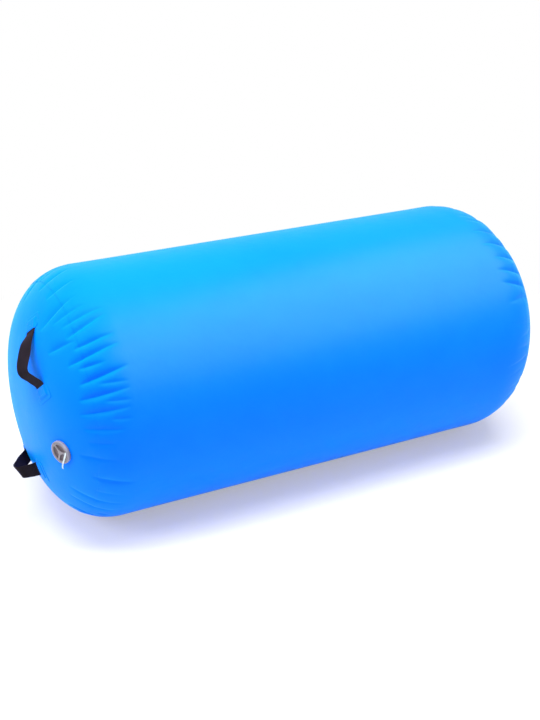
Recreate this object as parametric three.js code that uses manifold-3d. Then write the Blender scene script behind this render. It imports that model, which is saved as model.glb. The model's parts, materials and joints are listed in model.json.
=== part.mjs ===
// Inflatable gymnastics roll: a coated-fabric tube closed by two puckered end discs, with webbing
// carry handles on both ends and an inflation valve in one of them.
// Millimetres. +X runs along the roll away from the valve end and +Z is up. The origin is on the
// floor under the middle of the roll.
import * as THREE from "three";
import { mergeVertices } from "three/addons/utils/BufferGeometryUtils.js";
import Module from "manifold-3d";

const wasm = await Module();
wasm.setup();

// ---- Driving dimensions, in millimetres and degrees ----

// Skin
const ROLL_RADIUS = 300;
const WALL_LENGTH = 978; // straight stretch, between the circles where the ends begin to curve
const END_FULLNESS = 0.97; // how far the ends bulge, as a share of an ideal inflated membrane
const SEAM_INSET = 27.4; // the circle where an end disc is welded to the wall is this much smaller
const SEAM_RADIUS = ROLL_RADIUS - SEAM_INSET;
const FLOOR_WIDTH = 78; // strip that the roll's weight presses flat
const SKIN_THICKNESS = 0.9;
const FIT_GAP = 0.3; // air between pieces that are bonded or seated on each other

// Welding tapes inside the skin
const TAPE_WIDTH = 40;
const TAPE_THICKNESS = 0.8;
const WALL_TAPE_ANGLE = -52; // the wall's own lengthwise joint, low on the back

// Handles: a webbing strap whose middle stands up as a loop, and whose ends are welded under patches
const STRAP_WIDTH = 34;
const STRAP_THICKNESS = 2.2;
const LOOP_RISE = 40;
const FOOT_LENGTH = 24;
const PATCH_MARGIN = 11; // patch past the strap end and past its two sides
const PATCH_THICKNESS = 0.9;
// Inset, from the end weld's circle, and angle place a handle's middle. Slant brings its inner root,
// on the valve's side, nearer to the axis. Lean is how far its loop at rest leans out to the rim, and
// span is the length between the patches, where the loop's two roots stand.
const UPPER_HANDLE = { span: 133, inset: 110.7, angle: 119.1, slant: 19.2, lean: -16 };
const LOWER_HANDLE = { span: 120, inset: 121.6, angle: -88.8, slant: 11, lean: -2 };
const LOOP_SWING = 55; // how far a loop can fold either way from square to the skin
const LOOP_ROOT = 4; // width of the loop where it is hinged
const ROOT_CLEARANCE = 1.4; // under a folded loop's root, as the skin swells between the two roots

// Valve
const VALVE_INSET = 75.6; // from the end weld's circle in to the valve's middle
const VALVE_RADIUS = SEAM_RADIUS - VALVE_INSET;
const VALVE_ANGLE = -169.5;
const COLLAR_RADIUS = 27;
const RIM_HEIGHT = 6.8; // rim above the skin
const RIM_WIDTH = 3.6;
const FLOOR_HEIGHT = 1.9; // ledge inside the rim, above the skin
const THROAT_RADIUS = 17;
const NECK_WALL = 2;
const NECK_DEPTH = 28; // neck below the skin
const GASKET_THICKNESS = 1;
const SEAT_RADIUS = 11.5; // hole in the poppet's seat
const SEAT_DEPTH = 4.2;
const SEAT_THICKNESS = 1.8;
const NUT_RADIUS = 28;
const NUT_HEIGHT = 6;
const BACKING_RADIUS = 40;
const CAP_FACE_THICKNESS = 1.4; // under the finger recesses
const RECESS_DEPTH = 2.8;
const RIB_WIDTH = 5;
const CAP_BORDER = 3.4;
const CAP_HUB_RADIUS = 6;
const CAP_RIB_ANGLE = 12; // direction of the first of the cap's three ribs
const PLUG_WALL = 2.2;
const PLUG_DEPTH = 3.6; // plug below the skin
const SEAL_THICKNESS = 1.2;
const PULL_STRAP_WIDTH = 4.8;
const PULL_STRAP_THICKNESS = 1;
const STEM_RADIUS = 2;
const POPPET_RADIUS = 14;
const POPPET_THICKNESS = 2;
const POPPET_SEAL_THICKNESS = 0.6;
const BUTTON_RADIUS = 3.5;
const GUIDE_HEIGHT = 4;
const GUIDE_SPOKE = 3;
const SPRING_RADIUS = 3.6;
const SPRING_WIRE = 0.7;
const SPRING_TURNS = 5;

// Fineness of the facets
const FACETS_ROUND = 48;
const FACETS_DISC = 8;
const FACETS_SHOULDER = 3;
const FACETS_VALVE = 30;

// ---- Solids: closed three.js meshes, cut and joined with manifold-3d ----

function solidOf(geometry) {
  const bare = geometry.index ? geometry.toNonIndexed() : geometry.clone();
  bare.deleteAttribute("normal");
  bare.deleteAttribute("uv");
  const merged = mergeVertices(bare, 1e-4);
  return new wasm.Manifold(
    new wasm.Mesh({
      numProp: 3,
      vertProperties: merged.attributes.position.array,
      triVerts: new Uint32Array(merged.index.array),
    }),
  );
}

function geometryOf(solid) {
  const { vertProperties, triVerts } = solid.getMesh();
  const geometry = new THREE.BufferGeometry();
  geometry.setAttribute("position", new THREE.BufferAttribute(vertProperties, 3));
  geometry.setIndex(new THREE.BufferAttribute(triVerts, 1));
  const flatShaded = geometry.toNonIndexed();
  flatShaded.computeVertexNormals();
  return flatShaded;
}

function joined(...solids) {
  return solids.reduce((whole, solid) => whole.add(solid));
}

// A ring or disc about local Z from a closed outline of [radius, height] corners, given
// anticlockwise with the radius to the right.
function lathed(corners, segments = FACETS_VALVE) {
  const closed = [...corners, corners[0]].map(([radius, height]) => new THREE.Vector2(radius, height));
  const geometry = new THREE.LatheGeometry(closed, segments);
  geometry.rotateX(Math.PI / 2);
  return geometry;
}

function ring(inner, outer, low, high, segments) {
  return lathed([[inner, low], [outer, low], [outer, high], [inner, high]], segments);
}

function slab(shape, low, high) {
  const geometry = new THREE.ExtrudeGeometry(shape, { depth: high - low, bevelEnabled: false });
  geometry.translate(0, 0, low);
  return geometry;
}

function rectangle(width, height, x = 0) {
  return new THREE.Shape([
    new THREE.Vector2(x - width / 2, -height / 2),
    new THREE.Vector2(x + width / 2, -height / 2),
    new THREE.Vector2(x + width / 2, height / 2),
    new THREE.Vector2(x - width / 2, height / 2),
  ]);
}

function radians(degrees) {
  return THREE.MathUtils.degToRad(degrees);
}

// ---- The inflated skin ----

// The end is a flat disc blown up until its rim puckers, so its outline is the membrane curve
// r = R sin s, dx = R sin^2 s / sqrt(1 + sin^2 s) ds, with s from 0 on the axis to a quarter turn
// where the straight wall begins.
const QUARTER = Math.PI / 2;
const floorHalfAngle = Math.asin(FLOOR_WIDTH / 2 / ROLL_RADIUS);
const axisHeight = ROLL_RADIUS * Math.cos(floorHalfAngle);
const seamSweep = Math.asin(SEAM_RADIUS / ROLL_RADIUS);

function bulge(sweep) {
  return (END_FULLNESS * Math.sin(sweep) ** 2) / Math.sqrt(1 + Math.sin(sweep) ** 2);
}

function bulgeDepth(sweep) {
  const steps = 200;
  let depth = 0;
  for (let i = 0; i < steps; i++) {
    depth += (bulge(((i + 0.5) / steps) * sweep) * sweep * ROLL_RADIUS) / steps;
  }
  return depth;
}

const halfLength = WALL_LENGTH / 2 + bulgeDepth(QUARTER);

// Length of skin for each radian of sweep, to turn small widths along the skin into sweep.
function skinPerSweep(sweep) {
  return ROLL_RADIUS * Math.hypot(bulge(sweep), Math.cos(sweep));
}

// A point of the valve end's outline, "height" above the skin's outer face (negative is inside).
function smoothOutline(sweep, height) {
  const normal = new THREE.Vector2(-Math.cos(sweep), bulge(sweep)).normalize();
  return {
    x: bulgeDepth(sweep) - halfLength + height * normal.x,
    r: ROLL_RADIUS * Math.sin(sweep) + height * normal.y,
    height,
  };
}

// Every layer of skin, tape and patch shares these facet edges, so that the layers stay parallel.
const outlineSweeps = [];
for (let i = 0; i <= FACETS_DISC; i++) {
  outlineSweeps.push((i / FACETS_DISC) * seamSweep);
}
for (let i = 1; i <= FACETS_SHOULDER; i++) {
  outlineSweeps.push(seamSweep + (i / FACETS_SHOULDER) * (QUARTER - seamSweep));
}

function facetedOutline(sweep, height) {
  const next = Math.max(1, outlineSweeps.findIndex((edge) => edge >= sweep - 1e-9));
  const [from, to] = [outlineSweeps[next - 1], outlineSweeps[next]];
  const share = (sweep - from) / (to - from);
  const start = smoothOutline(from, height);
  const end = smoothOutline(to, height);
  return {
    x: start.x + share * (end.x - start.x),
    r: start.r + share * (end.r - start.r),
    height,
  };
}

function outlineBetween(fromSweep, toSweep, height) {
  const inside = outlineSweeps.filter((edge) => edge > fromSweep + 1e-6 && edge < toSweep - 1e-6);
  return [fromSweep, ...inside, toSweep].map((sweep) => facetedOutline(sweep, height));
}

function mirrored(points) {
  return points.map((point) => ({ ...point, x: -point.x })).reverse();
}

// Facet edges round the roll: two facets across the floor strip and the rest evenly spaced.
function facetAngle(index) {
  if (index % FACETS_ROUND === 0) {
    return -QUARTER;
  }
  const span = 2 * Math.PI - 2 * floorHalfAngle;
  return floorHalfAngle - QUARTER + (((index % FACETS_ROUND) - 1) / (FACETS_ROUND - 2)) * span;
}

// A solid turned about the roll's axis from a closed outline, and pressed flat on the floor.
function turned(outline) {
  const positions = [];
  const corner = (point, index) => {
    const angle = facetAngle(index);
    const lift = Math.max(point.r * Math.sin(angle), -axisHeight - point.height);
    return new THREE.Vector3(point.x, point.r * Math.cos(angle), lift + axisHeight);
  };
  const face = (a, b, c) => {
    if (a.distanceTo(b) > 1e-6 && b.distanceTo(c) > 1e-6 && c.distanceTo(a) > 1e-6) {
      positions.push(...a.toArray(), ...b.toArray(), ...c.toArray());
    }
  };
  outline.forEach((point, k) => {
    const next = outline[(k + 1) % outline.length];
    for (let i = 0; i < FACETS_ROUND; i++) {
      face(corner(point, i), corner(next, i + 1), corner(next, i));
      face(corner(point, i), corner(point, i + 1), corner(next, i + 1));
    }
  });
  const geometry = new THREE.BufferGeometry();
  geometry.setAttribute("position", new THREE.Float32BufferAttribute(positions, 3));
  return geometry;
}

// A layer of even thickness over a stretch of the valve end.
function endLayer(fromSweep, toSweep, low, high) {
  const outer = outlineBetween(fromSweep, toSweep, high);
  const inner = outlineBetween(fromSweep, toSweep, low).reverse();
  return turned([...inner, ...outer]);
}

const seamHalfGap = FIT_GAP / 2 / skinPerSweep(seamSweep);
const tapeHalfSweep = TAPE_WIDTH / 2 / skinPerSweep(seamSweep);
const tapeHigh = -SKIN_THICKNESS - FIT_GAP;
const tapeLow = tapeHigh - TAPE_THICKNESS;

function wallGeometry() {
  const wallEnd = seamSweep + seamHalfGap;
  const outer = outlineBetween(wallEnd, QUARTER, 0);
  const inner = outlineBetween(wallEnd, QUARTER, -SKIN_THICKNESS);
  return turned([...inner.reverse(), ...outer, ...mirrored(outer), ...mirrored(inner)]);
}

function discGeometry() {
  return endLayer(0, seamSweep - seamHalfGap, -SKIN_THICKNESS, 0);
}

function seamTapeGeometry() {
  return endLayer(seamSweep - tapeHalfSweep, seamSweep + tapeHalfSweep, tapeLow, tapeHigh);
}

// The lengthwise tape stops short of the ring tapes.
function wallTapeGeometry() {
  const angle = radians(WALL_TAPE_ANGLE);
  const radial = new THREE.Vector2(Math.cos(angle), Math.sin(angle));
  const run = WALL_LENGTH / 2;
  const layer = solidOf(
    turned([
      { x: -run, r: ROLL_RADIUS + tapeLow, height: tapeLow },
      { x: -run, r: ROLL_RADIUS + tapeHigh, height: tapeHigh },
      { x: run, r: ROLL_RADIUS + tapeHigh, height: tapeHigh },
      { x: run, r: ROLL_RADIUS + tapeLow, height: tapeLow },
    ]),
  );
  const strip = new THREE.BoxGeometry(2 * WALL_LENGTH, ROLL_RADIUS, TAPE_WIDTH);
  strip.rotateX(angle);
  strip.translate(0, radial.x * ROLL_RADIUS, radial.y * ROLL_RADIUS + axisHeight);
  return geometryOf(layer.intersect(solidOf(strip)));
}

// ---- Places on the valve end ----

// A frame on the skin: Z out of the skin, Y away from the roll's axis and X across, with the slant
// turning X and Y about Z.
function skinFrame(radius, degrees, slant = 0) {
  const angle = radians(degrees);
  const sweep = Math.asin(radius / ROLL_RADIUS);
  const point = smoothOutline(sweep, 0);
  const out = new THREE.Vector3(0, Math.cos(angle), Math.sin(angle));
  const normal = new THREE.Vector3(-Math.cos(sweep), 0, 0).addScaledVector(out, bulge(sweep)).normalize();
  const away = out.clone().addScaledVector(normal, -out.dot(normal)).normalize();
  const across = new THREE.Vector3().crossVectors(away, normal);
  const frame = new THREE.Matrix4().makeBasis(across, away, normal);
  frame.setPosition(point.x, out.y * radius, out.z * radius + axisHeight);
  return frame.multiply(new THREE.Matrix4().makeRotationZ(radians(slant)));
}

// The same place with Y turned to point up the end.
function uprightFrame(radius, degrees) {
  const frame = skinFrame(radius, degrees);
  const normal = new THREE.Vector3().setFromMatrixColumn(frame, 2);
  const across = new THREE.Vector3(0, 0, 1).cross(normal).normalize();
  const up = normal.clone().cross(across);
  return new THREE.Matrix4().makeBasis(across, up, normal).copyPosition(frame);
}

const CUTTER_REACH = 60; // cutting prisms run this far either side of the skin

// The part of a skin layer that lies inside an outline drawn in a frame on the skin.
function skinPatch(shape, frame, low, high) {
  const cutter = slab(shape, -CUTTER_REACH, CUTTER_REACH);
  cutter.applyMatrix4(frame);
  return solidOf(endLayer(0, seamSweep, low, high)).intersect(solidOf(cutter));
}

function roundedRectangle(width, height, corner, x = 0) {
  const [right, top] = [width / 2 - corner, height / 2 - corner];
  const shape = new THREE.Shape();
  shape.absarc(x + right, top, corner, 0, QUARTER);
  shape.absarc(x - right, top, corner, QUARTER, 2 * QUARTER);
  shape.absarc(x - right, -top, corner, 2 * QUARTER, 3 * QUARTER);
  shape.absarc(x + right, -top, corner, 3 * QUARTER, 4 * QUARTER);
  return new THREE.Shape(shape.getPoints(2));
}

function circle(radius) {
  return new THREE.Shape(new THREE.EllipseCurve(0, 0, radius, radius).getPoints(FACETS_VALVE).slice(0, -1));
}

// ---- Handles ----

const footLow = FIT_GAP;
const footHigh = footLow + STRAP_THICKNESS;
const pocketHigh = footHigh + FIT_GAP;
const patchHigh = pocketHigh + PATCH_THICKNESS;
const hingeHeight = ROOT_CLEARANCE + (LOOP_ROOT / 2) * Math.sin(radians(LOOP_SWING));
const PATCH_CORNER = 9;
const LOOP_STEPS = 18;

// The loop stands on its hinge line, which joins the two roots along local X. Its ends taper to the
// hinge so that it can fold over without cutting into the skin.
function loopGeometry(span) {
  const [halfSpan, rise] = [span / 2 - 2 * FIT_GAP, LOOP_RISE];
  const outer = new THREE.EllipseCurve(0, 0, halfSpan, rise, 0, Math.PI).getPoints(LOOP_STEPS);
  const inner = new THREE.EllipseCurve(
    0, 0, halfSpan - STRAP_THICKNESS, rise - STRAP_THICKNESS, 0, Math.PI,
  ).getPoints(LOOP_STEPS);
  const band = slab(new THREE.Shape([...outer, ...inner.reverse()]), -STRAP_WIDTH / 2, STRAP_WIDTH / 2);
  band.rotateX(QUARTER);
  const shoulder = ((STRAP_WIDTH - LOOP_ROOT) / 2) * Math.tan(radians(LOOP_SWING));
  const taper = slab(
    new THREE.Shape([
      new THREE.Vector2(-LOOP_ROOT / 2, 0),
      new THREE.Vector2(LOOP_ROOT / 2, 0),
      new THREE.Vector2(STRAP_WIDTH / 2, shoulder),
      new THREE.Vector2(STRAP_WIDTH / 2, 2 * rise),
      new THREE.Vector2(-STRAP_WIDTH / 2, 2 * rise),
      new THREE.Vector2(-STRAP_WIDTH / 2, shoulder),
    ]),
    -span,
    span,
  );
  taper.rotateX(QUARTER);
  taper.rotateZ(QUARTER);
  return geometryOf(solidOf(band).intersect(solidOf(taper)));
}

// Middle of the hinge line: the skin drops away on both sides of a handle's middle, so the roots
// are found on the skin first.
function hingeFrame(frame, span) {
  const roots = [-1, 1].map((side) => {
    const root = new THREE.Vector3((side * span) / 2, 0, 0).applyMatrix4(frame);
    const radius = Math.hypot(root.y, root.z - axisHeight);
    const angle = THREE.MathUtils.radToDeg(Math.atan2(root.z - axisHeight, root.y));
    return new THREE.Vector3(0, 0, hingeHeight).applyMatrix4(skinFrame(radius, angle));
  });
  const across = roots[1].clone().sub(roots[0]).normalize();
  const normal = new THREE.Vector3().setFromMatrixColumn(frame, 2);
  normal.addScaledVector(across, -normal.dot(across)).normalize();
  const hinge = new THREE.Matrix4().makeBasis(across, normal.clone().cross(across), normal);
  return hinge.setPosition(roots[0].add(roots[1]).multiplyScalar(0.5));
}

// ---- Valve, in a frame whose Z is the valve's axis and whose XY plane touches the skin ----

const rimInner = COLLAR_RADIUS - RIM_WIDTH;
const neckRadius = THROAT_RADIUS + NECK_WALL;
const holeRadius = neckRadius + FIT_GAP;
const capRadius = rimInner - FIT_GAP;
const plugRadius = THROAT_RADIUS - 2 * FIT_GAP - SEAL_THICKNESS;
const recessFloor = RIM_HEIGHT - RECESS_DEPTH;
const capUnderside = recessFloor - CAP_FACE_THICKNESS;
const seatBottom = -SEAT_DEPTH - SEAT_THICKNESS;
const poppetSealTop = seatBottom - FIT_GAP;
const poppetTop = poppetSealTop - POPPET_SEAL_THICKNESS - FIT_GAP;
const poppetBottom = poppetTop - POPPET_THICKNESS;
const NECK_LIP = 1.7; // snap lip under the guide
const guideBottom = -NECK_DEPTH + NECK_LIP + FIT_GAP;
const guideTop = guideBottom + GUIDE_HEIGHT;
const guideRadius = THROAT_RADIUS - FIT_GAP;
const valvePlace = uprightFrame(VALVE_RADIUS, VALVE_ANGLE);
const fromValve = valvePlace.clone().invert();

// A layer of the end brought into the valve's frame.
function layerAtValve(low, high) {
  const layer = endLayer(0, seamSweep, low, high);
  layer.applyMatrix4(fromValve);
  return solidOf(layer);
}

function collarGeometry() {
  const neck = lathed([
    [THROAT_RADIUS, FLOOR_HEIGHT],
    [THROAT_RADIUS, -SEAT_DEPTH],
    [SEAT_RADIUS, -SEAT_DEPTH],
    [SEAT_RADIUS, seatBottom],
    [THROAT_RADIUS, seatBottom],
    [THROAT_RADIUS, -NECK_DEPTH + NECK_LIP],
    [THROAT_RADIUS - NECK_LIP, -NECK_DEPTH + NECK_LIP],
    [THROAT_RADIUS - NECK_LIP, -NECK_DEPTH],
    [neckRadius, -NECK_DEPTH],
    [neckRadius, FLOOR_HEIGHT],
  ]);
  const edge = 1.4; // rounding of the rim's outer edge
  const flange = lathed([
    [neckRadius - NECK_WALL / 2, -COLLAR_RADIUS / 4],
    [COLLAR_RADIUS, -COLLAR_RADIUS / 4],
    [COLLAR_RADIUS, RIM_HEIGHT - edge],
    [COLLAR_RADIUS - edge, RIM_HEIGHT],
    [rimInner, RIM_HEIGHT],
    [rimInner, FLOOR_HEIGHT],
    [neckRadius - NECK_WALL / 2, FLOOR_HEIGHT],
  ]);
  const skinAndGasket = layerAtValve(-CUTTER_REACH / 2, 2 * FIT_GAP + GASKET_THICKNESS);
  return geometryOf(joined(solidOf(flange).subtract(skinAndGasket), solidOf(neck)));
}

function capRecess() {
  const half = RIB_WIDTH / 2;
  const outer = capRadius - CAP_BORDER;
  const inner = CAP_HUB_RADIUS;
  const spread = radians(120);
  const outerTrim = Math.asin(half / outer);
  const innerTrim = Math.asin(half / inner);
  const shape = new THREE.Shape();
  shape.absarc(0, 0, outer, outerTrim, spread - outerTrim, false);
  shape.absarc(0, 0, inner, spread - innerTrim, innerTrim, true);
  return slab(new THREE.Shape(shape.getPoints(6)), recessFloor, 2 * RIM_HEIGHT);
}

function capGeometry() {
  const skirt = 2; // wall of the cap's outer edge
  const lip = SEAL_THICKNESS;
  const body = lathed([
    [0, capUnderside],
    [plugRadius - PLUG_WALL, capUnderside],
    [plugRadius - PLUG_WALL, -PLUG_DEPTH],
    [plugRadius + lip, -PLUG_DEPTH],
    [plugRadius + lip, -PLUG_DEPTH + lip / 2],
    [plugRadius, -PLUG_DEPTH + lip / 2],
    [plugRadius, capUnderside],
    [capRadius - skirt, capUnderside],
    [capRadius - skirt, FLOOR_HEIGHT + FIT_GAP],
    [capRadius, FLOOR_HEIGHT + FIT_GAP],
    [capRadius, RIM_HEIGHT],
    [0, RIM_HEIGHT],
  ]);
  let cap = solidOf(body);
  for (let rib = 0; rib < 3; rib++) {
    const recess = capRecess();
    recess.rotateZ(radians(CAP_RIB_ANGLE + 120 * rib));
    cap = cap.subtract(solidOf(recess));
  }
  return geometryOf(cap);
}

function capSealGeometry() {
  const low = -PLUG_DEPTH + SEAL_THICKNESS / 2 + FIT_GAP;
  return ring(plugRadius + FIT_GAP, THROAT_RADIUS - FIT_GAP, low, low + 2 * SEAL_THICKNESS);
}

// A soft strip that hangs from the cap's edge, over the rim and down: places across the valve as
// shares of the collar's radius, and the strip's rise above the cap there.
function pullStrapGeometry() {
  const clear = RIM_HEIGHT + FIT_GAP + PULL_STRAP_THICKNESS / 2;
  const places = [
    [0.78, 0.3, 0],
    [0.59, -0.23, 0.6],
    [0.37, -0.71, 0.8],
    [0.18, -1.16, 0.2],
    [0.03, -1.52, -3],
  ];
  const path = new THREE.CatmullRomCurve3(
    places.map(([x, y, rise]) => new THREE.Vector3(x * COLLAR_RADIUS, y * COLLAR_RADIUS, clear + rise)),
  );
  const section = rectangle(PULL_STRAP_THICKNESS, PULL_STRAP_WIDTH);
  return new THREE.ExtrudeGeometry(section, { steps: 16, bevelEnabled: false, extrudePath: path });
}

function poppetGeometry() {
  const head = STEM_RADIUS + 0.9; // snap head that keeps the stem in its guide
  const headTop = guideBottom - FIT_GAP;
  return lathed([
    [0, headTop - 2],
    [head, headTop - 2],
    [head, headTop],
    [STEM_RADIUS, headTop],
    [STEM_RADIUS, poppetBottom],
    [POPPET_RADIUS, poppetBottom],
    [POPPET_RADIUS, poppetTop],
    [BUTTON_RADIUS, poppetTop],
    [BUTTON_RADIUS, -SEAT_DEPTH - FIT_GAP],
    [0, -SEAT_DEPTH - FIT_GAP],
  ]);
}

function guideGeometry() {
  const bore = STEM_RADIUS + FIT_GAP;
  const hub = ring(bore, bore + GUIDE_SPOKE, guideBottom, guideTop);
  let guide = solidOf(ring(guideRadius - NECK_LIP, guideRadius, guideBottom, guideTop)).add(solidOf(hub));
  for (let spoke = 0; spoke < 3; spoke++) {
    const arm = new THREE.BoxGeometry(guideRadius - bore - NECK_LIP, GUIDE_SPOKE, GUIDE_HEIGHT);
    arm.translate((guideRadius + bore) / 2, 0, (guideTop + guideBottom) / 2);
    arm.rotateZ(radians(120 * spoke + 60));
    guide = guide.add(solidOf(arm));
  }
  return geometryOf(guide);
}

class Helix extends THREE.Curve {
  constructor(radius, low, high, turns) {
    super();
    Object.assign(this, { radius, low, high, turns });
  }
  getPoint(t, target = new THREE.Vector3()) {
    const angle = 2 * Math.PI * this.turns * t;
    const height = this.low + (this.high - this.low) * t;
    return target.set(this.radius * Math.cos(angle), this.radius * Math.sin(angle), height);
  }
}

function springGeometry() {
  const inset = FIT_GAP + SPRING_WIRE / 2;
  const coil = new Helix(SPRING_RADIUS, guideTop + inset, poppetBottom - inset, SPRING_TURNS);
  const wire = new THREE.EllipseCurve(0, 0, SPRING_WIRE / 2, SPRING_WIRE / 2).getPoints(5).slice(0, -1);
  return new THREE.ExtrudeGeometry(new THREE.Shape(wire), {
    steps: 10 * SPRING_TURNS,
    bevelEnabled: false,
    extrudePath: coil,
  });
}

function backingGeometry() {
  const low = -SKIN_THICKNESS - FIT_GAP - PATCH_THICKNESS;
  const disc = circle(BACKING_RADIUS);
  disc.holes.push(new THREE.Path(circle(holeRadius).getPoints()));
  return geometryOf(skinPatch(disc, valvePlace, low, -SKIN_THICKNESS - FIT_GAP));
}

function gasketGeometry() {
  const disc = circle(COLLAR_RADIUS - 2 * FIT_GAP);
  disc.holes.push(new THREE.Path(circle(holeRadius).getPoints()));
  return geometryOf(skinPatch(disc, valvePlace, FIT_GAP, FIT_GAP + GASKET_THICKNESS));
}

function nutGeometry() {
  const backingLow = -SKIN_THICKNESS - FIT_GAP - PATCH_THICKNESS;
  const blank = solidOf(ring(neckRadius + FIT_GAP, NUT_RADIUS, backingLow - NUT_HEIGHT, 0));
  return geometryOf(blank.subtract(layerAtValve(backingLow - FIT_GAP, CUTTER_REACH / 2)));
}

// ---- The object ----

const roll = new THREE.Group();
const valve = new THREE.Group();
valve.applyMatrix4(valvePlace);
roll.add(valve);

function finish(color, roughness) {
  return { color, roughness, metalness: 0 };
}
const COATED_FABRIC = finish(0x1f8dff, 0.42);
const TAPE = finish(0x3f9cf5, 0.55);
const WEBBING = finish(0x17131c, 0.9);
const VALVE_PLASTIC = finish(0xb9b4b6, 0.45);
const CAP_PLASTIC = finish(0x938b8e, 0.5);
const RUBBER = finish(0x26262a, 0.8);
const CLEAR_STRIP = finish(0xe9eef4, 0.35);
const SPRING_STEEL = { color: 0xb8bcc2, roughness: 0.3, metalness: 1 };

function piece(parent, name, geometry, look) {
  const mesh = new THREE.Mesh(geometry, new THREE.MeshStandardMaterial(look));
  mesh.name = name;
  parent.add(mesh);
  return mesh;
}

// The plain end is laid out as the valve end is, so its pieces sit in a group turned to face the
// other way.
const plainEnd = new THREE.Group();
plainEnd.rotation.z = Math.PI;
roll.add(plainEnd);

piece(roll, "tube_wall", wallGeometry(), COATED_FABRIC);
const valveHole = new THREE.CylinderGeometry(holeRadius, holeRadius, 2 * CUTTER_REACH, FACETS_VALVE);
valveHole.rotateX(QUARTER);
valveHole.applyMatrix4(valvePlace);
const valveDisc = solidOf(discGeometry()).subtract(solidOf(valveHole));
piece(roll, "valve_end_disc", geometryOf(valveDisc), COATED_FABRIC);
piece(plainEnd, "plain_end_disc", discGeometry(), COATED_FABRIC);
piece(roll, "valve_end_seam_tape", seamTapeGeometry(), TAPE);
piece(plainEnd, "plain_end_seam_tape", seamTapeGeometry(), TAPE);
piece(roll, "wall_seam_tape", wallTapeGeometry(), TAPE);

// One handle: two strap ends, a patch welded over each, and the loop between. valveSide is the way
// along the handle, as a sign of local X, in which the valve's own radius lies.
function addHandle(parent, name, place, valveSide) {
  const frame = skinFrame(SEAM_RADIUS - place.inset, place.angle, -valveSide * place.slant);
  const footMiddle = (place.span + FOOT_LENGTH) / 2;
  const patchLength = FOOT_LENGTH + PATCH_MARGIN;
  const patchMiddle = (place.span + patchLength) / 2;
  const patchWidth = STRAP_WIDTH + 2 * PATCH_MARGIN;
  const pocketWidth = STRAP_WIDTH + 2 * FIT_GAP;
  const pocketLength = FOOT_LENGTH + 2 * FIT_GAP;
  for (const [side, root] of [[valveSide, "inner"], [-valveSide, "outer"]]) {
    const foot = rectangle(FOOT_LENGTH, STRAP_WIDTH, side * footMiddle);
    const footSolid = skinPatch(foot, frame, footLow, footHigh);
    const pocket = rectangle(pocketLength, pocketWidth, side * footMiddle);
    const patch = roundedRectangle(patchLength, patchWidth, PATCH_CORNER, side * patchMiddle);
    const patchSolid = skinPatch(patch, frame, FIT_GAP, patchHigh);
    const pocketSolid = skinPatch(pocket, frame, 0, pocketHigh);
    piece(parent, `${name}_${root}_patch`, geometryOf(patchSolid.subtract(pocketSolid)), COATED_FABRIC);
    piece(parent, `${name}_${root}_strap_end`, geometryOf(footSolid), WEBBING);
  }
  const stand = new THREE.Group();
  stand.applyMatrix4(hingeFrame(frame, place.span));
  const loop = piece(stand, `${name}_loop`, loopGeometry(place.span), WEBBING);
  loop.rotation.x = -radians(place.lean);
  parent.add(stand);
}

for (const [end, parent] of [["valve_end", roll], ["plain_end", plainEnd]]) {
  addHandle(parent, `${end}_upper_handle`, UPPER_HANDLE, 1);
  addHandle(parent, `${end}_lower_handle`, LOWER_HANDLE, -1);
}

piece(roll, "valve_backing_patch", backingGeometry(), TAPE);
piece(roll, "valve_gasket", gasketGeometry(), RUBBER);
piece(valve, "valve_collar", collarGeometry(), VALVE_PLASTIC);
piece(valve, "valve_nut", nutGeometry(), VALVE_PLASTIC);
piece(valve, "valve_stem_guide", guideGeometry(), VALVE_PLASTIC);
piece(valve, "valve_poppet", poppetGeometry(), CAP_PLASTIC);
piece(
  valve,
  "valve_poppet_seal",
  ring(SEAT_RADIUS - 1, POPPET_RADIUS, poppetSealTop - POPPET_SEAL_THICKNESS, poppetSealTop),
  RUBBER,
);
piece(valve, "valve_spring", springGeometry(), SPRING_STEEL);
piece(valve, "valve_cap", capGeometry(), CAP_PLASTIC);
piece(valve, "valve_cap_seal", capSealGeometry(), RUBBER);
piece(valve, "valve_cap_strap", pullStrapGeometry(), CLEAR_STRIP);

export default roll;
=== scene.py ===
import json
import math

import bpy
import numpy as np
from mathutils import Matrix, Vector


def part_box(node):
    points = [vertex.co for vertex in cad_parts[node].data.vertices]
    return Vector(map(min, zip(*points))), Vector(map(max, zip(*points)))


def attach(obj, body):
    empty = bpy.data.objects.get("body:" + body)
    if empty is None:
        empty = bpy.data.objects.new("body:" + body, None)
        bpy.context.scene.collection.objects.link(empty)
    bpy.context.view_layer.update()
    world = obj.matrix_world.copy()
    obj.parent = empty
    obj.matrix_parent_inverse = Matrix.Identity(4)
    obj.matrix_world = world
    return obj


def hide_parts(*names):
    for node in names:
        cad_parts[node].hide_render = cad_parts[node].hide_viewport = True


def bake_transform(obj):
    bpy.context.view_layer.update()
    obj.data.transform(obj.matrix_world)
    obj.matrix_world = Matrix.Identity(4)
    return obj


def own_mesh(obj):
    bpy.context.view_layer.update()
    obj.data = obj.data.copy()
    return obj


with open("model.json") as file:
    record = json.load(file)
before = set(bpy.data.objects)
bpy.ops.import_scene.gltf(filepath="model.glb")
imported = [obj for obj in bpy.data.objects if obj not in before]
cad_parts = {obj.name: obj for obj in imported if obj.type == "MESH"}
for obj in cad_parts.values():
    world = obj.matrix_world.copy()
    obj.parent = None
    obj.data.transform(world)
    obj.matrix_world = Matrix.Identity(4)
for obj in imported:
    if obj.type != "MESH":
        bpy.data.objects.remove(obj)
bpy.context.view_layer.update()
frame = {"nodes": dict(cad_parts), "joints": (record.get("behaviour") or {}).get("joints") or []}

# ---- Skin: tube wall and two end discs -------------------------------------------------------
# PVC-coated polyester. The tube is one sheet closed with a lapped weld low on the back, and a flat
# disc of the same cloth is welded into each end. Air pushes the flat discs out into domes, which
# leaves spare cloth at both rims, and it gathers there in sharp radial creases.

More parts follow.
